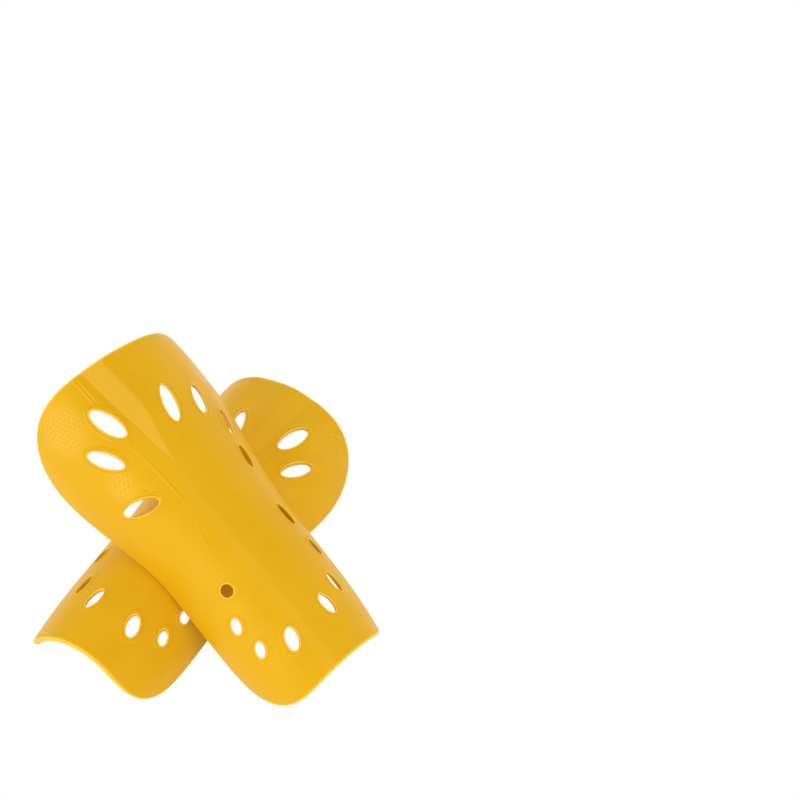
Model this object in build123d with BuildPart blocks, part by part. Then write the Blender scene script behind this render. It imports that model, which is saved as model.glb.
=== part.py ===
"""Pair of slip-in shin guards: two mirrored one-piece shells, one laid across the other."""

import os
from math import asin, atan, cos, degrees, radians, sin, sqrt, tan

from build123d import *

# ---- shell: one moulding, standing on its two long edges, knee end towards +Y ----
length = 196.0  # along the crown, ankle end to knee end
ankle_width = 79.0  # outside, across the long edges above the ankle
ankle_end_width = 70.0  # the same at the ankle end
knee_width = 105.0  # the same below the knee
knee_end_width = 100.0  # the same at the knee end
ankle_height = 38.0  # crown above the long edges at the ankle end
knee_height = 47.0  # the same at the knee end
wall = 2.6

flare_start = -16.0  # the shell begins to widen here, along Y
flare_end = 62.0  # and has its full width here
ankle_taper = 38.0  # stretch at the ankle end that draws in
knee_taper = 28.0  # the same at the knee end

ankle_lean = 11.5  # degrees that the ankle end leans, so its sides reach further than its crown
ankle_corner = 25.0  # radius of the two corners at the ankle end, seen from the side
knee_corner = 39.0  # the same at the knee end
edge_round = 0.7  # all round the rim of the shell

# ---- vents: ovals cut square to the wall, each in a low raised ring ----
ring_width = 1.6
ring_height = 0.5

# degrees round from the crown, share of the half length towards the knee, long side, short side,
# and the turn of the long side from straight across
vents = [
    (-26.5, 0.70, 22.0, 8.6, 109),
    (-40.0, 0.56, 20.5, 7.5, 125),
    (-46.0, 0.26, 21.0, 7.5, 162),
    (9.0, 0.61, 21.5, 7.0, 73),
    (28.5, 0.555, 18.0, 6.8, 67),
    (40.5, 0.38, 16.0, 6.0, 68),
    (39.0, 0.16, 14.0, 6.4, 80),
    (39.0, -0.22, 14.0, 5.6, 98),
    (44.0, -0.45, 11.0, 5.0, 100),
    (33.0, -0.66, 12.5, 4.8, 96),
    (12.5, -0.725, 12.0, 5.6, 99),
    (-26.0, -0.75, 12.0, 6.6, 70),
    (-49.5, -0.69, 8.4, 5.4, 58),
    (-53.0, -0.52, 8.4, 5.8, 60),
    (-41.5, -0.35, 6.8, 6.8, 0),
]

# ---- how the pair lies: the left guard flat, the right one across it ----
left_turn = -28.8  # about Z
right_turn = 45.7
right_roll = 4.2
right_shift = (12.5, -14.6)  # of its middle from the left guard's middle, seen from above
lay_gap = 0.5  # left free where the right guard lies on the left one
foot_gap = 0.1  # left free where its ankle end stands on the table
steepest = 45.0  # degrees that its knee end can be raised, at most

half_length = length / 2
end_margin = 16.0  # how far the untrimmed body runs past each end
stations = 12
contact_steps = 40  # points tried each way from the middle when the pair is laid together
pitch_steps = 20  # the same while its pitch is sought
pitch_close = 0.02  # degrees, how closely its pitch is sought


def ease(share):
    """Smooth step from 0 to 1."""
    share = min(max(share, 0.0), 1.0)
    return share * share * (3 - 2 * share)


def half_width(y):
    """Half the outside width at the long edges."""
    flare = ease((y - flare_start) / (flare_end - flare_start))
    width = ankle_width + (knee_width - ankle_width) * flare
    ankle_share = max((ankle_taper - half_length - y) / ankle_taper, 0.0)
    knee_share = max((y - half_length + knee_taper) / knee_taper, 0.0)
    width -= (ankle_width - ankle_end_width) * ankle_share**2
    width -= (knee_width - knee_end_width) * knee_share**2
    return width / 2


def crown(y):
    """Height of the crown above the long edges."""
    return ankle_height + (knee_height - ankle_height) * (y + half_length) / length


def arc_radius(y):
    """Radius of the round that passes through both long edges and the crown."""
    return (half_width(y) ** 2 + crown(y) ** 2) / (2 * crown(y))


def wall_plane(turn, y):
    """Plane on the outside of the wall: X runs round the shin, Y along it, Z outwards."""
    radius = arc_radius(y)
    around = radians(turn)
    centre_z = crown(y) - radius
    spot = (radius * sin(around), y, centre_z + radius * cos(around))
    return Plane(origin=spot, x_dir=(cos(around), 0, -sin(around)), z_dir=(sin(around), 0, cos(around)))


def shin_form(outset, floor):
    """Solid round form of the shin, grown outwards by outset and reaching down to floor."""
    start = -half_length - end_margin
    step = (length + 2 * end_margin) / stations
    with BuildPart() as form:
        for index in range(stations + 1):
            y = start + index * step
            centre_z = crown(y) - arc_radius(y)
            radius = arc_radius(y) + outset
            half_turn = 90 - degrees(asin((floor - centre_z) / radius))
            with BuildSketch(Plane.XZ.offset(-y)):
                with BuildLine():
                    round_side = CenterArc((0, centre_z), radius, 90 - half_turn, 2 * half_turn)
                    Line(round_side @ 1, round_side @ 0)
                make_face()
        loft()
    return form.part


def vent_posts(grow):
    """Oval posts through the wall at every vent, wider than the vent by grow on each side."""
    with BuildPart() as posts:
        for turn, share, long_side, short_side, slant in vents:
            with BuildSketch(wall_plane(turn, share * half_length)):
                Ellipse(long_side / 2 + grow, short_side / 2 + grow, rotation=slant)
        extrude(amount=2 * wall, both=True)
    return posts.part


def end_reach(z):
    """How far the shell runs towards the ankle and the knee, at a height above its long edges."""
    lean = radians(ankle_lean)
    towards_ankle = -half_length - (ankle_height - z) * tan(lean)
    if z < ankle_corner * (1 + sin(lean)):
        corner_y = -half_length - (ankle_height - ankle_corner) * tan(lean) + ankle_corner / cos(lean)
        towards_ankle = corner_y - sqrt(ankle_corner**2 - (ankle_corner - z) ** 2)
    towards_knee = half_length
    if z < knee_corner:
        towards_knee += sqrt(knee_corner**2 - (knee_corner - z) ** 2) - knee_corner
    return towards_ankle, towards_knee


def inside_point(around, along):
    """Point on the inner face of the wall; around and along run from -1 to 1, edge to edge."""
    y = along * half_length
    for _ in range(3):
        spot = wall_plane(around * degrees(2 * atan(crown(y) / half_width(y))), y)
        low, high = end_reach(max(spot.origin.Z, 0.0))
        y = (low + high + along * (high - low)) / 2
    return spot.origin - spot.z_dir * wall


def left_guard_top(spot):
    """Height of the flat-lying left guard over a spot, or of the table beside it."""
    beside = spot.rotate(Axis.Z, -left_turn)
    radius = arc_radius(beside.Y)
    if abs(beside.X) > half_width(beside.Y):
        return 0.0
    height = crown(beside.Y) - radius + sqrt(radius**2 - beside.X**2)
    low, high = end_reach(height)
    return height + lay_gap if low < beside.Y < high else 0.0


def right_tilt(pitch):
    """How the right guard is turned, with its knee end raised by pitch."""
    return Rotation(0, 0, right_turn) * Rotation(pitch, 0, 0) * Rotation(0, right_roll, 0)


def lift_needed(pitch, count):
    """How far the right guard has to be lifted to clear the left guard, and to clear the table."""
    over_guard = 0.0
    over_table = 0.0
    steps = range(-count, count + 1)
    for along in steps:
        for around in steps:
            inner = Pos(inside_point(around / count, along / count))
            spot = (right_tilt(pitch) * inner).position + Vector(*right_shift)
            over_guard = max(over_guard, left_guard_top(spot) - spot.Z)
            over_table = max(over_table, -spot.Z)
    return over_guard, over_table


def resting_pitch():
    """Pitch at which the right guard lies on the left guard and on its own ankle end."""
    low, high = 0.0, steepest
    while high - low > pitch_close:
        pitch = (low + high) / 2
        over_guard, over_table = lift_needed(pitch, pitch_steps)
        if over_table < over_guard - foot_gap:
            low = pitch
        else:
            high = pitch
    return round(low, 1)


# ---- the bare shell, cut to its side view, which leaves the long edges flat on the table ----
lean_run = tan(radians(ankle_lean))  # how far the ankle end moves out for each mm down
top = knee_height + end_margin

with BuildPart() as plain_shell:
    add(shin_form(0, -wall))
    add(shin_form(-wall, -2 * wall), mode=Mode.SUBTRACT)
    with BuildSketch(Plane.YZ) as side_view:
        with BuildLine():
            Polyline(
                (-half_length - lean_run * ankle_height, 0),
                (half_length, 0),
                (half_length, top),
                (-half_length + lean_run * (top - ankle_height), top),
                close=True,
            )
        make_face()
        floor_corners = side_view.vertices().group_by(Axis.Y)[0]
        fillet(floor_corners.sort_by(Axis.X)[0], ankle_corner)
        knee_spot = side_view.vertices().sort_by(lambda spot: (spot.X - half_length) ** 2 + spot.Y**2)[0]
        fillet(knee_spot, knee_corner)
    extrude(amount=knee_width, both=True, mode=Mode.INTERSECT)
    fillet(plain_shell.edges(), edge_round)

# ---- raised rings, and the vents through them ----
with BuildPart() as rings:
    add(shin_form(ring_height, -wall))
    add(shin_form(-wall / 2, -2 * wall), mode=Mode.SUBTRACT)
    add(vent_posts(ring_width), mode=Mode.INTERSECT)

with BuildPart() as guard:
    add(plain_shell.part)
    add(rings.part)
    add(vent_posts(0), mode=Mode.SUBTRACT)


# ---- the pair: the left guard is the mirror image, and lies flat under the right one ----
left_place = Rotation(0, 0, left_turn)
right_pitch = resting_pitch()
right_place = Pos(*right_shift, lift_needed(right_pitch, contact_steps)[0]) * right_tilt(right_pitch)
left_shape = left_place * mirror(guard.part, about=Plane.YZ)
right_shape = right_place * guard.part

# the origin is under the middle of the pair, on the surface that it lies on
pair_box = Compound([left_shape, right_shape]).bounding_box()
to_origin = Pos(-pair_box.center().X, -pair_box.center().Y, 0)

with BuildPart() as left_guard:
    add(to_origin * left_shape)
left_guard.part.label = "left_guard"

with BuildPart() as right_guard:
    add(to_origin * right_shape)
right_guard.part.label = "right_guard"

print("pair", pair_box.size, "lowest", round(pair_box.min.Z, 3))
print("left guard middle at", to_origin.position)
print("right guard pitched", right_pitch)

os.makedirs("parts", exist_ok=True)
export_step(left_guard.part, "parts/left_guard.step")
export_step(right_guard.part, "parts/right_guard.step")
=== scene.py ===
from math import acos, ceil, cos, pi, radians, sin, tan

import bpy
import numpy as np
from mathutils import Euler, Matrix, Vector
from mathutils.geometry import delaunay_2d_cdt


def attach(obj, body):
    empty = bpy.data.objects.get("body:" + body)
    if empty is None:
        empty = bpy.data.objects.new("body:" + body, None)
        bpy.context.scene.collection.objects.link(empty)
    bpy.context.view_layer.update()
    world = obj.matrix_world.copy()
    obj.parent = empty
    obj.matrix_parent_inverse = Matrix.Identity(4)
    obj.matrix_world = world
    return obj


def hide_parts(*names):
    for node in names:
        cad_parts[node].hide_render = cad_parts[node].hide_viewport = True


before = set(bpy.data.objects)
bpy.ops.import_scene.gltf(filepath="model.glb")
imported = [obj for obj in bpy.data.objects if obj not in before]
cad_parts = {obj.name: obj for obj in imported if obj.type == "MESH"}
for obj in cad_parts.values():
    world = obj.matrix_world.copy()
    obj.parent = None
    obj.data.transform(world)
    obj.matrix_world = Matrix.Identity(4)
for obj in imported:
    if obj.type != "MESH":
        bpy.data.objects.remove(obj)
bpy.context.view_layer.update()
print("frame loaded:", sorted(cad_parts))
bpy.ops.object.select_all(action="DESELECT")

mm = 0.001
far = 1e9  # further than anything on the sheet
rowShare = 0.8660254  # between rows of evenly spread points, for each step between points

# the shell's shape, in mm, as for the right guard; the left one is its mirror image
shell = {
    "length": 196.0,
    "ankleWidth": 79.0,
    "ankleEndWidth": 70.0,
    "kneeWidth": 105.0,
    "kneeEndWidth": 100.0,
    "ankleHeight": 38.0,
    "kneeHeight": 47.0,
    "wall": 2.6,
    "flareStart": -16.0,
    "flareEnd": 62.0,
    "ankleTaper": 38.0,
    "kneeTaper": 28.0,
    "ankleLean": 11.5,  # degrees
    "ankleCorner": 25.0,
    "kneeCorner": 39.0,
    "edgeRound": 0.7,
    "rimStep": 1.2,  # between points round the rim
    "outsideStep": 1.2,  # over the outside
    "insideStep": 2.4,  # and over the inside
    "outsideMargin": 0.55,  # kept free of points beside the rim and the vents
    "insideMargin": 1.2,
    "rimReachOut": 0.6,  # how far the rim's own band runs over the outside, past its rounding
    "rimReachIn": 0.8,  # and over the inside
    "halfSheet": 92.0,  # more than the sheet reaches to either side
    "spare": 4.0,  # and how far past its ends the points run
    "merge": 0.004,  # points nearer than this are one
    "rimHighlightReach": 0.2,  # how far from the rim and the vents the painted highlight stays at full strength
    "rimHighlightFade": 1.2,
    "sheetUnit": 200.0,  # mm that make one unit of the UV map
}

# degrees round from the crown, share of the half length, long side, short side, slant in degrees
vents = [
    (-26.5, 0.70, 22.0, 8.6, 109),
    (-40.0, 0.56, 20.5, 7.5, 125),
    (-46.0, 0.26, 21.0, 7.5, 162),
    (9.0, 0.61, 21.5, 7.0, 73),
    (28.5, 0.555, 18.0, 6.8, 67),
    (40.5, 0.38, 16.0, 6.0, 68),
    (39.0, 0.16, 14.0, 6.4, 80),
    (39.0, -0.22, 14.0, 5.6, 98),
    (44.0, -0.45, 11.0, 5.0, 100),
    (33.0, -0.66, 12.5, 4.8, 96),
    (12.5, -0.725, 12.0, 5.6, 99),
    (-26.0, -0.75, 12.0, 6.6, 70),
    (-49.5, -0.69, 8.4, 5.4, 58),
    (-53.0, -0.52, 8.4, 5.8, 60),
    (-41.5, -0.35, 6.8, 6.8, 0),
]

ventEdge = {
    "corners": 72,
    "lean": 10.0,  # degrees from the crown to the way the mould opens, which every vent's wall follows
    # out from the opening's edge, and height over the shell: collar, groove, bead, wall, inner edge
    "profile": [
        (3.3, 0.0), (2.9, 0.03), (2.55, 0.11), (2.25, 0.2), (1.95, 0.23), (1.6, 0.16), (1.4, 0.02),
        (1.2, 0.06), (1.0, 0.3), (0.78, 0.45), (0.55, 0.49), (0.33, 0.43), (0.15, 0.28), (0.03, 0.05),
        (0.0, -0.3), (0.04, -0.8), (0.1, -1.4), (0.18, -2.0), (0.32, -2.42), (0.6, -2.6), (1.1, -2.6),
    ],
}

# raised and sunk lines, as (round, along) in mm over the flat sheet
relief = {
    "outerLine": [
        (-17.6, 4), (-18.0, 16), (-18.8, 23), (-19.6, 32), (-20.6, 40), (-22.6, 52), (-24.2, 84), (-25.4, 99),
    ],
    "innerLine": [
        (-17.6, 4), (-18.0, 16), (-18.7, 23), (-19.2, 32), (-19.8, 40), (-21.2, 52), (-22.2, 84), (-22.9, 99),
    ],
    "lineHeight": 0.26,
    "lineHalf": 0.45,  # half the width of a line
    "lineStart": 6.0,  # along the shell, where the two lines begin to rise
    "lineRun": 22.0,  # and the stretch over which they do
    "wedgeLeft": [(-9.6, 32.7), (-12.1, 44.3), (-13.9, 60.2), (-16.8, 75.6), (-18.6, 88.4), (-20.0, 99)],
    "crest": [
        (-7.2, -99), (-8.0, -47), (-9.6, 32.7), (-8.8, 38), (-7.9, 45.8), (-5.5, 57.3), (-4.6, 68.6),
        (-5.9, 78.8), (-6.9, 87.5), (-8.4, 99),
    ],
    "wedgeRight": [(-9.6, 32.7), (-3.5, 45.0), (1.5, 57.0), (5.3, 65.7), (6.1, 72.7), (6.5, 80.0), (6.7, 99)],
    "wedgeSlope": 0.085,  # mm down for each mm away from the crest, on its left
    "wedgeFall": 0.075,  # and on its right
    "wedgeFadeLeft": 4.0,  # how far beside the wedge the shell comes back to its round
    "wedgeFadeRight": 16.0,
    "bandDepth": 0.15,  # of the two shallow facets beside the crest, below the wedge
    "bandWide": 6.0,
    "bandFade": 12.0,
    "bandStart": 8.0,  # past the wedge's tip, where the facets begin
    "bandRun": 30.0,  # and the stretch over which they deepen
    "arcs": [
        [(-18.6, 4.0), (-20.6, -2.3), (-22.3, -7.5), (-23.4, -14.0)],
        [(3.4, 6.6), (8.0, 2.4), (10.8, -4.0)],
    ],
    "arcHeight": 0.12,
    "dimple": (-30.3, 30.7),
    "dimpleDepth": 0.7,
    "dimpleHalf": 0.42,
    "combs": [(-45.5, 81.0, 16.5, 16.5), (-38.5, 40.5, 9.5, 10.0)],  # round, along, and the two half sizes
    "combSoft": 0.6,  # share of a patch over which it fades out
    "combPitch": 2.7,
    "combWall": 0.32,  # half the width of a cell's wall
    "combFlat": 0.4,  # share of that half which is flat on top
    "combHeight": 0.22,
    "combClear": 2.8,  # kept plain beside a vent
    "combBorder": 0.8,
}

# how much painted highlight the wedge's facet, the band below it and the honeycomb get, 0 to 1, and how
# softly it ends; it stands in for light caught by these facets and cell walls
paintedHighlight = {
    "wedge": 0.35,
    "wedgeEdge": 0.6,
    "crestEdge": 0.2,
    "crestSoft": 0.5,
    "band": 0.1,
    "bandEdge": 2.5,
    "bandStart": 4.0,
    "bandRun": 20.0,
    "comb": 0.15,
    "combWalls": 0.55,
}

# how closely the points lie where the sheet needs more of them
closer = {
    "lineStep": 0.8,
    "lineOffsets": (-0.8, -0.5, -0.25, 0.0, 0.25, 0.5, 0.8),
    "creaseStep": 0.9,
    "creaseOffsets": (-0.4, 0.0, 0.4),
    "arcStep": 0.3,
    "arcReach": 0.9,
    "dimpleStep": 0.25,
    "dimpleReach": 1.2,
    "combStep": 0.36,
    "combEdge": 0.02,
    "nearest": 0.24,  # two points never lie nearer than this
    "cell": 1.0,  # where a cell of this size has such points, the plain ones are left out
}


def ease(share):
    share = np.clip(share, 0.0, 1.0)
    return share * share * (3 - 2 * share)


def halfWidth(y):
    half = shell["length"] / 2
    flare = ease((y - shell["flareStart"]) / (shell["flareEnd"] - shell["flareStart"]))
    width = shell["ankleWidth"] + (shell["kneeWidth"] - shell["ankleWidth"]) * flare
    ankleShare = np.maximum((shell["ankleTaper"] - half - y) / shell["ankleTaper"], 0.0)
    kneeShare = np.maximum((y - half + shell["kneeTaper"]) / shell["kneeTaper"], 0.0)
    width = width - (shell["ankleWidth"] - shell["ankleEndWidth"]) * ankleShare**2
    width = width - (shell["kneeWidth"] - shell["kneeEndWidth"]) * kneeShare**2
    return width / 2


def crownHeight(y):
    rise = shell["kneeHeight"] - shell["ankleHeight"]
    return shell["ankleHeight"] + rise * (y + shell["length"] / 2) / shell["length"]


def arcRadius(y):
    return (halfWidth(y) ** 2 + crownHeight(y) ** 2) / (2 * crownHeight(y))


def wrapRound(flat):  # columns: round, along, height over the outside; all in mm
    around, along, height = flat[:, 0], flat[:, 1], flat[:, 2]
    radius = arcRadius(along)
    turn = around / radius
    top = crownHeight(along) - radius + (radius + height) * np.cos(turn)
    return np.stack([(radius + height) * np.sin(turn), along, np.maximum(top, 0.0)], 1)


def rimLoop(depth):  # the trimmed edge of the flat sheet, at a depth below the outside
    half, lean = shell["length"] / 2, radians(shell["ankleLean"])
    ankleCorner, kneeCorner = shell["ankleCorner"], shell["kneeCorner"]
    cornerY = -half - (shell["ankleHeight"] - ankleCorner) * tan(lean) + ankleCorner / cos(lean)
    leanEndY = cornerY - ankleCorner * cos(lean)
    leanEndZ = ankleCorner * (1 + sin(lean))

    def turnAt(y, z, under=depth):
        return acos(min((z - crownHeight(y) + arcRadius(y)) / (arcRadius(y) - under), 1.0))

    def shares(run):  # the same count at every depth
        count = ceil(run / shell["rimStep"])
        return [i / count for i in range(count)]

    side = []
    for share in shares(arcRadius(-half) * turnAt(leanEndY, leanEndZ, 0.0)):
        turn, y = share * turnAt(leanEndY, leanEndZ), -half
        for _ in range(6):
            z = crownHeight(y) - arcRadius(y) + (arcRadius(y) - depth) * cos(turn)
            y = -half - (shell["ankleHeight"] - z) * tan(lean)
        side.append((turn * arcRadius(y), y))
    for share in shares(ankleCorner * (pi / 2 + lean)):
        angle = (pi / 2 + lean) * (1 - share)
        y, z = cornerY - ankleCorner * sin(angle), ankleCorner * (1 - cos(angle))
        side.append((turnAt(y, z) * arcRadius(y), y))
    for share in shares(half - kneeCorner - cornerY):
        y = cornerY + (half - kneeCorner - cornerY) * share
        side.append((turnAt(y, 0.0) * arcRadius(y), y))
    for share in shares(kneeCorner * pi / 2):
        y = half - kneeCorner + kneeCorner * sin(share * pi / 2)
        side.append((turnAt(y, kneeCorner * (1 - cos(share * pi / 2))) * arcRadius(y), y))
    for share in shares(arcRadius(half) * turnAt(half, kneeCorner, 0.0)):
        side.append((turnAt(half, kneeCorner) * (1 - share) * arcRadius(half), half))
    side.append((0.0, half))
    mirrored = [(-around, along) for around, along in side[-2:0:-1]]
    return np.array(side + mirrored)


def pulledIn(loop, inset):  # the loop moved inwards over the sheet
    along = np.roll(loop, -1, 0) - np.roll(loop, 1, 0)
    along /= np.linalg.norm(along, axis=1)[:, None]
    return loop + inset * np.stack([-along[:, 1], along[:, 0]], 1)


def lineAt(path, along):  # where a line that runs along the shell lies
    points = np.array(sorted(path, key=lambda spot: spot[1]))
    return np.interp(along, points[:, 1], points[:, 0])


def distanceTo(path, flat):
    best = np.full(len(flat), far)
    for start, end in zip(path[:-1], path[1:]):
        start, run = np.array(start), np.array(end) - np.array(start)
        share = np.clip(((flat - start) @ run) / (run @ run), 0, 1)
        best = np.minimum(best, np.linalg.norm(flat - start - share[:, None] * run, axis=1))
    return best


def combMask(flat):  # 1 inside the patches of honeycomb, soft towards their borders
    mask = np.zeros(len(flat))
    for around, along, halfAround, halfAlong in relief["combs"]:
        reach = np.hypot((flat[:, 0] - around) / halfAround, (flat[:, 1] - along) / halfAlong)
        mask = np.maximum(mask, ease((1.0 - reach) / relief["combSoft"]))
    return mask


def combWalls(flat):  # 1 on the walls between the cells, 0 inside the cells
    pitch = relief["combPitch"]
    grid = np.array([[pitch, 0.0], [pitch / 2, pitch * rowShare]])
    cell = np.floor(flat @ np.linalg.inv(grid))
    gaps = []
    for i in (-1, 0, 1, 2):
        for j in (-1, 0, 1, 2):
            gaps.append(np.linalg.norm(flat - (cell + (i, j)) @ grid, axis=1))
    gaps = np.sort(np.array(gaps), axis=0)
    flatTop = relief["combWall"] * relief["combFlat"]
    return 1 - ease(((gaps[1] - gaps[0]) / 2 - flatTop) / relief["combWall"])


def ventGap(flat):  # how far outside the nearest vent's edge
    best = np.full(len(flat), far)
    for turn, share, longSide, shortSide, slant in vents:
        y = share * shell["length"] / 2
        offset = flat - np.array([radians(turn) * arcRadius(y), y])
        c, s = cos(radians(slant)), sin(radians(slant))
        along, across = offset @ np.array([c, s]), offset @ np.array([-s, c])
        reach = np.hypot(along / (longSide / 2), across / (shortSide / 2))
        best = np.minimum(best, (1 - 1 / np.maximum(reach, 1e-6)) * np.hypot(along, across))
    return best


def rimGap(flat):  # how far inside the rim
    rim = rimLoop(0.0)
    best = np.full(len(flat), far)
    for start in range(0, len(rim), 60):
        chunk = rim[start:start + 60]
        best = np.minimum(best, np.linalg.norm(flat[:, None] - chunk[None], axis=2).min(1))
    return best


def reliefAt(flat):
    around, along = flat[:, 0], flat[:, 1]
    crest = lineAt(relief["crest"], along)
    left, right = lineAt(relief["wedgeLeft"], along), lineAt(relief["wedgeRight"], along)
    wedgeTip = relief["wedgeLeft"][0][1]
    upper = along > wedgeTip
    leftWide = np.where(upper, np.maximum(crest - left, 0.0), 0.0)
    rightWide = np.where(upper, np.maximum(right - crest, 0.0), 0.0)
    leftDrop, rightDrop = relief["wedgeSlope"] * leftWide, relief["wedgeFall"] * rightWide
    offCrest = around - crest
    onLeft = np.where(
        -offCrest < leftWide,
        leftDrop * -offCrest / np.maximum(leftWide, 1e-6),
        leftDrop * (1 - ease((-offCrest - leftWide) / relief["wedgeFadeLeft"])),
    )
    onRight = np.where(
        offCrest < rightWide,
        rightDrop * offCrest / np.maximum(rightWide, 1e-6),
        rightDrop * (1 - ease((offCrest - rightWide) / relief["wedgeFadeRight"])),
    )
    height = -np.where(offCrest < 0, onLeft, onRight)
    below = ease((wedgeTip + relief["bandStart"] - along) / relief["bandRun"])
    beside, wide = np.abs(offCrest), relief["bandWide"]
    facets = np.minimum(beside / wide, 1.0) * (1 - ease((beside - wide) / relief["bandFade"]))
    height = height - relief["bandDepth"] * below * facets
    fade = ease((along - relief["lineStart"]) / relief["lineRun"])
    for name in ("outerLine", "innerLine"):
        off = (around - lineAt(relief[name], along)) / relief["lineHalf"]
        height = height + relief["lineHeight"] * fade * np.exp(-off * off)
    for arc in relief["arcs"]:
        off = distanceTo(arc, flat) / relief["lineHalf"]
        height = height + relief["arcHeight"] * np.exp(-off * off)
    off = np.linalg.norm(flat - relief["dimple"], axis=1) / relief["dimpleHalf"]
    height = height - relief["dimpleDepth"] * np.exp(-off * off)
    clear = ease((ventGap(flat) - relief["combClear"]) / relief["combBorder"])
    return height + relief["combHeight"] * combMask(flat) * combWalls(flat) * clear


def paintedHighlightAt(flat):  # 1 where a paler tint is painted on as highlight, on the wedge's facet, the band and the honeycomb walls that catch the light
    around, along = flat[:, 0], flat[:, 1]
    crest, left = lineAt(relief["crest"], along), lineAt(relief["wedgeLeft"], along)
    wedgeTip = relief["wedgeLeft"][0][1]
    leftOfCrest = ease((crest - around + paintedHighlight["crestEdge"]) / paintedHighlight["crestSoft"])
    wedge = leftOfCrest * ease((around - left + paintedHighlight["wedgeEdge"]) / (2 * paintedHighlight["wedgeEdge"]))
    wedge *= along > wedgeTip
    bandReach = around - crest + relief["bandWide"] + paintedHighlight["bandEdge"]
    band = leftOfCrest * ease(bandReach / (2 * paintedHighlight["bandEdge"]))
    band *= ease((wedgeTip + paintedHighlight["bandStart"] - along) / paintedHighlight["bandRun"])
    comb = combMask(flat) * (paintedHighlight["comb"] + paintedHighlight["combWalls"] * combWalls(flat))
    return np.clip(paintedHighlight["wedge"] * wedge + paintedHighlight["band"] * band + comb, 0.0, 1.0)


# one vent's edge, turned out of a circle in edit mode
def makeVent(index, turn, around, along, longSide, shortSide, slant):
    bpy.ops.object.select_all(action="DESELECT")
    first = ventEdge["profile"][0][0]
    a, b = longSide / 2 + first, shortSide / 2 + first
    bpy.ops.mesh.primitive_circle_add(vertices=ventEdge["corners"], radius=1, location=(0, 0, 0))
    vent = bpy.context.object
    vent.name = f"vent{index}"
    bpy.ops.object.mode_set(mode="EDIT")
    bpy.ops.mesh.select_all(action="SELECT")
    bpy.ops.transform.resize(value=(a, b, 1), center_override=(0, 0, 0))
    middle = Vector((0, 0, 0))
    run = tan(radians(turn + ventEdge["lean"])) * Vector((cos(radians(slant)), -sin(radians(slant)), 0))
    for (outBefore, zBefore), (out, z) in zip(ventEdge["profile"][:-1], ventEdge["profile"][1:]):
        aBefore, bBefore = longSide / 2 + outBefore, shortSide / 2 + outBefore
        a, b = longSide / 2 + out, shortSide / 2 + out
        step = run * (min(zBefore, 0.0) - min(z, 0.0))
        middle += step
        bpy.ops.mesh.extrude_edges_move(TRANSFORM_OT_translate={"value": (step.x, step.y, z - zBefore)})
        bpy.ops.transform.resize(value=(a / aBefore, b / bBefore, 1), center_override=middle)
    bpy.ops.object.mode_set(mode="OBJECT")
    vent.matrix_world = Matrix.Translation((around, along, 0)) @ Matrix.Rotation(radians(slant), 4, "Z")
    bpy.ops.object.transform_apply(location=True, rotation=True, scale=True)
    return vent


def ringOf(vent, level):  # the points of one ring of the profile, in order round
    count = ventEdge["corners"]
    flat = np.array([tuple(v.co) for v in vent.data.vertices])
    ring = flat[level * count:(level + 1) * count]
    middle = ring.mean(0)
    order = np.argsort(np.arctan2(ring[:, 1] - middle[1], ring[:, 0] - middle[0]))
    return ring[order]


def insideLoop(points, loop):
    inside = np.zeros(len(points), bool)
    for (x0, y0), (x1, y1) in zip(loop, np.roll(loop, -1, 0)):
        if y0 == y1:
            continue
        crosses = (y0 > points[:, 1]) != (y1 > points[:, 1])
        inside ^= crosses & (points[:, 0] < (x1 - x0) * (points[:, 1] - y0) / (y1 - y0) + x0)
    return inside


def lattice(step):  # evenly spread points over more than the whole sheet
    high, wide = shell["length"] / 2 + shell["spare"], shell["halfSheet"]
    spots = []
    for row, y in enumerate(np.arange(-high, high, step * rowShare)):
        shift = step / 2 if row % 2 else 0
        spots += [(x + shift, y) for x in np.arange(-wide, wide, step)]
    return np.array(spots)


def detailPoints():  # closer points along the lines and over the honeycomb
    points = []

    def follow(names, ys, offsets):
        for name in names:
            for off in offsets:
                points.extend(zip(lineAt(relief[name], ys) + off, ys))

    follow(("outerLine", "innerLine"), np.arange(6, 97, closer["lineStep"]), closer["lineOffsets"])
    follow(("crest",), np.arange(-97, 97, closer["creaseStep"]), closer["creaseOffsets"])
    follow(("wedgeLeft", "wedgeRight"), np.arange(36, 97, closer["creaseStep"]), closer["creaseOffsets"])
    fine = lattice(closer["arcStep"])
    for arc in relief["arcs"]:
        points.extend(fine[distanceTo(arc, fine) < closer["arcReach"]])
    fine = lattice(closer["dimpleStep"])
    points.extend(fine[np.linalg.norm(fine - relief["dimple"], axis=1) < closer["dimpleReach"]])
    fine = lattice(closer["combStep"])
    points.extend(fine[combMask(fine) > closer["combEdge"]])
    return np.array(points)


def thinned(points, spacing):  # drops points that crowd an earlier one
    cells, kept = {}, []
    for index, (x, y) in enumerate(points):
        key = (int(x // spacing), int(y // spacing))
        near = (cells.get((key[0] + i, key[1] + j)) for i in (-1, 0, 1) for j in (-1, 0, 1))
        if all(spot is None or (spot[0] - x) ** 2 + (spot[1] - y) ** 2 >= spacing**2 for spot in near):
            cells[key] = (x, y)
            kept.append(index)
    return points[kept]


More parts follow.
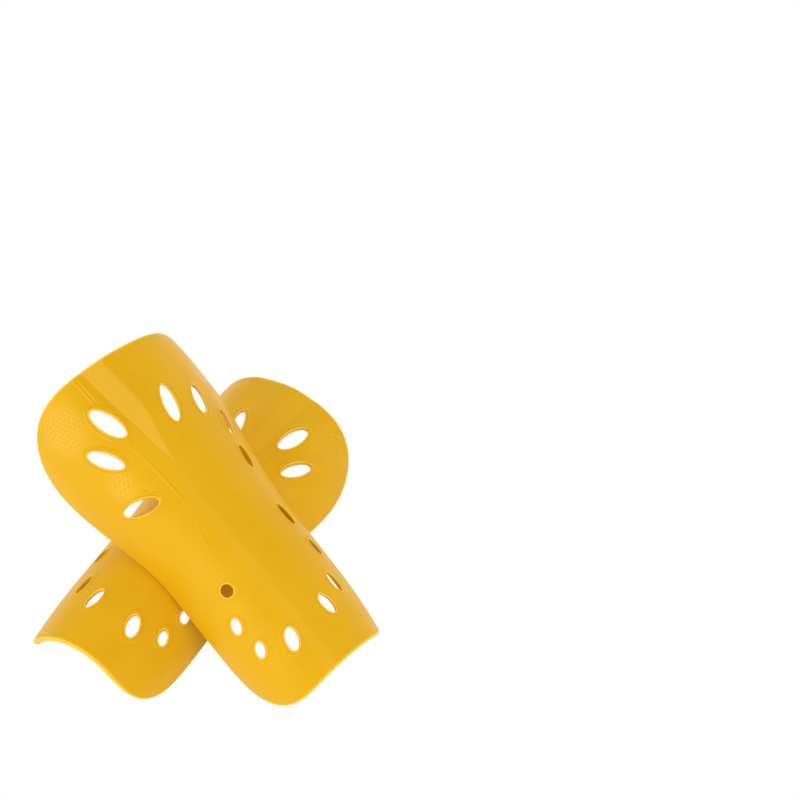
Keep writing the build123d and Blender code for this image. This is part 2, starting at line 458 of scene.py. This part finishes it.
def fillSheet(name, rim, holes, points, margin, height):  # triangles between the rim and the vents
    grown = pulledIn(rim, margin)
    points = points[insideLoop(points, grown)]
    loops = [rim] + [hole[:, :2] for hole in holes]
    for hole in holes:
        middle = hole[:, :2].mean(0)
        reach = hole[:, :2] - middle
        bigger = middle + reach * (1 + margin / np.linalg.norm(reach, axis=1))[:, None]
        points = points[~insideLoop(points, bigger)]
    spots, edges = [], []
    for loop in loops:
        start = len(spots)
        spots += [tuple(spot) for spot in loop]
        edges += [(start + i, start + (i + 1) % len(loop)) for i in range(len(loop))]
    spots += [tuple(spot) for spot in points]
    made = delaunay_2d_cdt([Vector(spot) for spot in spots], edges, [], 0, 1e-5)
    verts, faces = np.array([tuple(v) for v in made[0]]), np.array([tuple(f) for f in made[2]])
    middles = verts[faces].mean(1)
    keep = insideLoop(middles, rim)
    for loop in loops[1:]:
        keep &= ~insideLoop(middles, loop)
    mesh = bpy.data.meshes.new(name)
    mesh.from_pydata([(x, y, height) for x, y in verts], [], faces[keep].tolist())
    sheet = bpy.data.objects.new(name, mesh)
    bpy.context.scene.collection.objects.link(sheet)
    print(name, len(verts), "points", int(keep.sum()), "faces")
    return sheet


def makeRim():  # the rounded outer edge, from the outside face to the inside face
    r, wall = shell["edgeRound"], shell["wall"]
    steps = [(0.0, r + shell["rimReachOut"])]
    steps += [(r * (1 - cos(a)), r * (1 - sin(a))) for a in np.linspace(0, pi / 2, 5)]
    steps += [(wall / 2, 0.0)]
    steps += [(wall - r * (1 - sin(a)), r * (1 - cos(a))) for a in np.linspace(0, pi / 2, 4)]
    steps += [(wall, r + shell["rimReachIn"])]
    verts, faces, loops = [], [], []
    for depth, inset in steps:
        loop = pulledIn(rimLoop(depth), inset)
        loops.append(loop)
        verts += [(x, y, -depth) for x, y in loop]
    count = len(loops[0])
    for start in range(0, (len(steps) - 1) * count, count):
        for i in range(count):
            j = (i + 1) % count
            faces.append((start + i, start + j, start + count + j, start + count + i))
    mesh = bpy.data.meshes.new("rim")
    mesh.from_pydata(verts, [], faces)
    rim = bpy.data.objects.new("rim", mesh)
    bpy.context.scene.collection.objects.link(rim)
    return rim, loops[0], loops[-1]


# the flat sheet: rim, vents, outside and inside, joined into one closed skin
rim, topLoop, insideEdge = makeRim()
ventPieces = []
for index, (turn, share, longSide, shortSide, slant) in enumerate(vents):
    y = share * shell["length"] / 2
    ventPieces.append(makeVent(index, turn, radians(turn) * arcRadius(y), y, longSide, shortSide, slant))
print("vents turned:", len(ventPieces))
topRings = [ringOf(vent, 0) for vent in ventPieces]
lowRings = [ringOf(vent, len(ventEdge["profile"]) - 1) for vent in ventPieces]
detail = thinned(detailPoints(), closer["nearest"])
plain = lattice(shell["outsideStep"])
busy = {tuple(cell) for cell in detail // closer["cell"]}
free = [tuple(cell) not in busy for cell in plain // closer["cell"]]
points = np.concatenate([detail, plain[free]])
outside = fillSheet("outside", topLoop, topRings, points, shell["outsideMargin"], 0.0)
points = lattice(shell["insideStep"])
inside = fillSheet("inside", insideEdge, lowRings, points, shell["insideMargin"], -shell["wall"])

bpy.ops.object.select_all(action="DESELECT")
for piece in [outside, inside, rim] + ventPieces:
    piece.select_set(True)
bpy.context.view_layer.objects.active = outside
bpy.ops.object.join()
sheet = bpy.context.object
bpy.ops.object.mode_set(mode="EDIT")
bpy.ops.mesh.select_all(action="SELECT")
bpy.ops.mesh.remove_doubles(threshold=shell["merge"])
bpy.ops.mesh.normals_make_consistent(inside=False)
bpy.ops.object.mode_set(mode="OBJECT")
mesh = sheet.data
flat = np.zeros(len(mesh.vertices) * 3)
mesh.vertices.foreach_get("co", flat)
flat = flat.reshape(-1, 3)
print("sheet joined:", len(mesh.vertices), "points", len(mesh.polygons), "faces")

nearOutside = np.clip(1.0 + flat[:, 2], 0.0, 1.0)  # fades out over the first mm of the wall
raised = flat.copy()
raised[:, 2] += reliefAt(flat[:, :2]) * nearOutside
# a painted highlight along the rim and the vents' edges, where the rounded edges catch the light
fromEdge = np.minimum(np.abs(ventGap(flat[:, :2])), rimGap(flat[:, :2]))
rimHighlightAmount = 1 - ease((fromEdge - shell["rimHighlightReach"]) / shell["rimHighlightFade"])
# painted highlight on the wedge, the band and the honeycomb, kept to the outside
paintedHighlightMask = paintedHighlightAt(flat[:, :2]) * nearOutside

# the last entry of each guard scales its painted highlight: 0.3 on the left guard and full on the right one,
# though the two are mirror images
guards = {
    "left_guard": {
        "body": "left", "mirror": True, "yaw": -28.8, "pitch": 0.0, "roll": 0.0,
        "place": (-13.8297, 0.3772, 0.0), "paintedHighlight": 0.3,
    },
    "right_guard": {
        "body": "right", "mirror": False, "yaw": 45.7, "pitch": 26.8, "roll": 4.2,
        "place": (-1.3297, -14.2228, 39.0408), "paintedHighlight": 1.0,
    },
}


# finishes
def node(tree, kind, x, y, inputs=None, **settings):
    made = tree.nodes.new(kind)
    made.location = (x, y)
    for name, value in settings.items():
        setattr(made, name, value)
    for name, value in (inputs or {}).items():
        if isinstance(value, bpy.types.NodeSocket):
            tree.links.new(value, made.inputs[name])
        else:
            made.inputs[name].default_value = value
    return made


def newGroup(name, inputs, outputs):
    group = bpy.data.node_groups.new(name, "ShaderNodeTree")
    for label, kind, value in inputs:
        socket = group.interface.new_socket(name=label, in_out="INPUT", socket_type=kind)
        if value is not None:
            socket.default_value = value
    for label, kind in outputs:
        group.interface.new_socket(name=label, in_out="OUTPUT", socket_type=kind)
    return group, node(group, "NodeGroupInput", -900, 0), node(group, "NodeGroupOutput", 700, 0)


def noise(tree, x, y, vector, scale, detail):
    made = node(tree, "ShaderNodeTexNoise", x, y, {"Vector": vector, "Scale": scale, "Detail": detail})
    return made.outputs["Fac"]


def maths(tree, x, y, operation, *values):
    return node(tree, "ShaderNodeMath", x, y, dict(enumerate(values)), operation=operation).outputs[0]


def blendOf(tree, x, y, share, first, second):
    return node(tree, "ShaderNodeMix", x, y, {0: share, 6: first, 7: second}, data_type="RGBA").outputs[2]


def makeMouldSkin():  # orange peel and fine grain of moulded plastic
    group, given, out = newGroup(
        "mouldSkin",
        [
            ("Vector", "NodeSocketVector", None),
            ("Peel", "NodeSocketFloat", 1.0),
            ("Grain", "NodeSocketFloat", 1.0),
        ],
        [("Height", "NodeSocketFloat"), ("Gloss", "NodeSocketFloat")],
    )
    where = given.outputs["Vector"]
    peel = noise(group, -600, 200, where, 210.0, 2.0)
    grain = noise(group, -600, -100, where, 2400.0, 2.0)
    haze = noise(group, -600, -400, where, 55.0, 4.0)
    peel = maths(group, -300, 200, "MULTIPLY", peel, given.outputs["Peel"])
    grain = maths(group, -300, -100, "MULTIPLY", grain, given.outputs["Grain"])
    group.links.new(maths(group, 0, 100, "ADD", peel, grain), out.inputs["Height"])
    group.links.new(haze, out.inputs["Gloss"])
    return group


def makeTint():  # slow colour drift, flow streaks along the moulding, a painted highlight on facets and cell walls, and a painted highlight along the rims and the vents' edges
    group, given, out = newGroup(
        "tintDrift",
        [
            ("Vector", "NodeSocketVector", None),
            ("Sheet", "NodeSocketVector", None),
            ("RimHighlightShare", "NodeSocketFloat", 0.0),
            ("HighlightShare", "NodeSocketFloat", 0.0),
            ("Deep", "NodeSocketColor", None),
            ("Light", "NodeSocketColor", None),
            ("RimHighlightTint", "NodeSocketColor", None),
            ("HighlightTint", "NodeSocketColor", None),
        ],
        [("Color", "NodeSocketColor")],
    )
    where, sheetMap = given.outputs["Vector"], given.outputs["Sheet"]
    stretch = node(group, "ShaderNodeMapping", -800, -100, {"Vector": sheetMap, "Scale": (9.0, 1.2, 1.0)})
    slow = noise(group, -600, 300, where, 22.0, 3.0)
    streak = noise(group, -600, 0, stretch.outputs["Vector"], 4.0, 3.0)
    speck = noise(group, -600, -300, where, 900.0, 1.0)
    drift = maths(group, -350, 200, "MULTIPLY_ADD", streak, 0.14, slow)
    drift = maths(group, -150, 200, "MULTIPLY_ADD", speck, 0.35, drift)
    spread = node(group, "ShaderNodeMapRange", 50, 200, {"Value": drift, "From Min": 0.55, "From Max": 0.95})
    tint = blendOf(group, 250, 200, spread.outputs[0], given.outputs["Deep"], given.outputs["Light"])
    tint = blendOf(group, 350, 0, given.outputs["HighlightShare"], tint, given.outputs["HighlightTint"])
    tint = blendOf(group, 450, 100, given.outputs["RimHighlightShare"], tint, given.outputs["RimHighlightTint"])
    group.links.new(tint, out.inputs["Color"])
    return group


mouldSkin, tintDrift = makeMouldSkin(), makeTint()

plastic = {
    "outside": {
        "deep": (0.77, 0.407, 0.003, 1),
        "light": (0.82, 0.446, 0.008, 1),
        # colour of the painted highlight along the rims and the vents' edges
        "edge": (0.95, 0.60, 0.045, 1),
        # colour of the painted highlight on the wedge, the band and the honeycomb walls
        "paintedHighlight": (0.92, 0.54, 0.075, 1),
        "rough": (0.33, 0.43),
        "peel": 1.0,
        "grain": 0.10,
    },
    # the inside's colours are a little darker and more orange than the outside's, as painted shade for the
    # hollow under the shell
    "inside": {
        "deep": (0.75, 0.37, 0.002, 1),
        "light": (0.80, 0.41, 0.004, 1),
        # colour of the painted highlight along the rims and the vents' edges
        "edge": (0.90, 0.50, 0.02, 1),
        # colour of the painted highlight
        "paintedHighlight": (0.86, 0.46, 0.02, 1),
        "rough": (0.46, 0.58),
        "peel": 0.6,
        "grain": 0.30,
    },
    "bump": 0.00006,  # metres
    "paleRough": 0.1,  # how much rougher the finely matt places with the painted highlight are
}


def makePlastic(name, look):
    material = bpy.data.materials.new(name)
    material.use_nodes = True
    tree = material.node_tree
    shader = tree.nodes["Principled BSDF"]
    where = node(tree, "ShaderNodeTexCoord", -1200, 0)
    sheetMap = node(tree, "ShaderNodeUVMap", -1200, -300, uv_map="sheet")
    # the first attribute is the painted highlight along the rims and the vents' edges
    edge = node(tree, "ShaderNodeAttribute", -1200, -500, attribute_name="rimHighlightAmount")
    # the second attribute is the painted highlight on facets and cell walls, and it also makes those places a
    # little rougher
    mattAndHighlight = node(tree, "ShaderNodeAttribute", -1200, -700, attribute_name="paintedHighlight")
    skin = node(tree, "ShaderNodeGroup", -800, -200, node_tree=mouldSkin)
    tree.links.new(where.outputs["Object"], skin.inputs["Vector"])
    skin.inputs["Peel"].default_value = look["peel"]
    skin.inputs["Grain"].default_value = look["grain"]
    tint = node(tree, "ShaderNodeGroup", -800, 300, node_tree=tintDrift)
    tree.links.new(where.outputs["Object"], tint.inputs["Vector"])
    tree.links.new(sheetMap.outputs["UV"], tint.inputs["Sheet"])
    tree.links.new(edge.outputs["Fac"], tint.inputs["RimHighlightShare"])
    tree.links.new(mattAndHighlight.outputs["Fac"], tint.inputs["HighlightShare"])
    for socket, colour in (("Deep", "deep"), ("Light", "light"), ("RimHighlightTint", "edge"), ("HighlightTint", "paintedHighlight")):
        tint.inputs[socket].default_value = look[colour]
    lowRough, highRough = look["rough"]
    spread = {"From Min": 0.3, "From Max": 0.7, "To Min": lowRough, "To Max": highRough}
    gloss = node(tree, "ShaderNodeMapRange", -500, 0, {"Value": skin.outputs["Gloss"], **spread})
    rough = maths(tree, -300, 0, "MULTIPLY_ADD", mattAndHighlight.outputs["Fac"], plastic["paleRough"], gloss.outputs[0])
    relieved = {"Height": skin.outputs["Height"], "Strength": 1.0, "Distance": plastic["bump"]}
    bump = node(tree, "ShaderNodeBump", -300, -300, relieved)
    tree.links.new(tint.outputs["Color"], shader.inputs["Base Color"])
    tree.links.new(rough, shader.inputs["Roughness"])
    tree.links.new(bump.outputs["Normal"], shader.inputs["Normal"])
    shader.inputs["IOR"].default_value = 1.49
    shader.inputs["Specular Tint"].default_value = (1.0, 0.72, 0.2, 1)
    shader.inputs["Subsurface Weight"].default_value = 0.12
    shader.inputs["Subsurface Radius"].default_value = (1.0, 0.5, 0.1)
    shader.inputs["Subsurface Scale"].default_value = 0.002
    return material


outsidePlastic = makePlastic("yellowPlastic", plastic["outside"])
insidePlastic = makePlastic("yellowPlasticInside", plastic["inside"])
print("finishes made")


# the two guards, wrapped round and laid as the pair lies
def makeGuard(name, look):
    guard = sheet.copy()
    guard.data = sheet.data.copy()
    guard.name = name + "_shell"
    guard.data.name = name + "_shell"
    bpy.context.scene.collection.objects.link(guard)
    spots = wrapRound(raised)
    if look["mirror"]:
        spots[:, 0] *= -1
    turn = Matrix.Rotation(radians(look["yaw"]), 3, "Z") @ Matrix.Rotation(radians(look["pitch"]), 3, "X")
    turn = turn @ Matrix.Rotation(radians(look["roll"]), 3, "Y")
    spots = (spots @ np.array(turn).T + np.array(look["place"])) * mm
    shape = guard.data
    shape.vertices.foreach_set("co", spots.ravel())
    if look["mirror"]:
        shape.flip_normals()
    layer = shape.uv_layers.new(name="sheet")
    corner = np.zeros(len(shape.loops), int)
    shape.loops.foreach_get("vertex_index", corner)
    layer.data.foreach_set("uv", (flat[corner, :2] / shell["sheetUnit"] + 0.5).ravel())
    # the painted highlight along the rims and the vents' edges
    rimHighlightLayer = shape.attributes.new("rimHighlightAmount", "FLOAT", "POINT")
    rimHighlightLayer.data.foreach_set("value", rimHighlightAmount.astype(np.float32))
    # the painted highlight mask, scaled for each guard
    paintedHighlightLayer = shape.attributes.new("paintedHighlight", "FLOAT", "POINT")
    paintedHighlightLayer.data.foreach_set("value", (paintedHighlightMask * look["paintedHighlight"]).astype(np.float32))
    shape.materials.clear()
    shape.materials.append(outsidePlastic)
    shape.materials.append(insidePlastic)
    faceIn = np.zeros(len(shape.polygons), int)
    lowest = -shell["wall"] + 0.01
    for polygon in shape.polygons:
        faceIn[polygon.index] = all(flat[i, 2] < lowest for i in polygon.vertices)
    shape.polygons.foreach_set("material_index", faceIn)
    shape.shade_smooth()
    shape.update()
    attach(guard, look["body"])
    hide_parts(name)
    print(name, "triangles", sum(len(p.vertices) - 2 for p in shape.polygons))


for name, look in guards.items():
    makeGuard(name, look)
bpy.data.objects.remove(sheet)

# floor, light and camera
studio = {
    "floorSize": 8.0,
    "floorTone": 0.9,
    "floorGlow": 0.144,
    "floorSeen": 1.0,  # as the camera sees it, plain and without shadows
    "world": 0.53,
    "away": 1.6,  # how far each softbox hangs from the object
    "softboxSize": 1.0,
    "softboxes": [  # degrees round from the camera's side, degrees up, watts
        (315, 28, 8.1),
        (45, 28, 6.6),
        (90, 28, 1.5),
        (135, 28, 2.5),
        (180, 28, 3.5),
        (270, 28, 3.5),
        (0, 90, 1.0),
    ],
    "camera": (0.1011, -0.4022, 0.5582),
    "tilt": 42.9,  # degrees up from straight down
    "lens": 54,
    "sensor": 36,
}

bpy.ops.mesh.primitive_plane_add(size=studio["floorSize"], location=(0, 0, -0.0002))
floor = bpy.context.object
floor.name = "floor"
floorLook = bpy.data.materials.new("paleFloor")
floorLook.use_nodes = True
floorShader = floorLook.node_tree.nodes["Principled BSDF"]
tone = studio["floorTone"]
floorShader.inputs["Base Color"].default_value = (tone, tone, tone, 1)
floorShader.inputs["Roughness"].default_value = 0.9
floorShader.inputs["Specular IOR Level"].default_value = 0.1
floorShader.inputs["Emission Color"].default_value = (1, 1, 1, 1)
floorShader.inputs["Emission Strength"].default_value = studio["floorGlow"]
floorTree = floorLook.node_tree
plainWhite = {"Color": (1, 1, 1, 1), "Strength": studio["floorSeen"]}
seen = node(floorTree, "ShaderNodeEmission", 0, -400, plainWhite)
ray = node(floorTree, "ShaderNodeLightPath", 0, 400)
shaders = {0: ray.outputs["Is Camera Ray"], 1: floorShader.outputs[0], 2: seen.outputs[0]}
mixed = node(floorTree, "ShaderNodeMixShader", 300, 0, shaders)
floorTree.links.new(mixed.outputs[0], floorTree.nodes["Material Output"].inputs["Surface"])
floor.data.materials.append(floorLook)

for index, (turn, climb, watts) in enumerate(studio["softboxes"]):
    turn, climb = radians(turn), radians(climb)
    spot = studio["away"] * Vector((sin(turn) * cos(climb), -cos(turn) * cos(climb), sin(climb)))
    bpy.ops.object.light_add(type="AREA", location=spot)
    lamp = bpy.context.object
    lamp.name = f"softbox{index}"
    lamp.data.size = studio["softboxSize"]
    lamp.data.energy = watts
    lamp.rotation_euler = (-spot).to_track_quat("-Z", "Y").to_euler()

world = bpy.context.scene.world or bpy.data.worlds.new("studio")
bpy.context.scene.world = world
world.use_nodes = True
background = world.node_tree.nodes["Background"]
background.inputs["Color"].default_value = (1, 1, 1, 1)
background.inputs["Strength"].default_value = studio["world"]

cameraData = bpy.data.cameras.new("camera")
cameraData.lens = studio["lens"]
cameraData.sensor_width = studio["sensor"]
camera = bpy.data.objects.new("camera", cameraData)
bpy.context.scene.collection.objects.link(camera)
camera.location = studio["camera"]
camera.rotation_euler = Euler((radians(studio["tilt"]), 0, 0))
bpy.context.scene.camera = camera
bpy.context.scene.view_settings.view_transform = "Standard"
print("studio set")

bpy.context.view_layer.update()
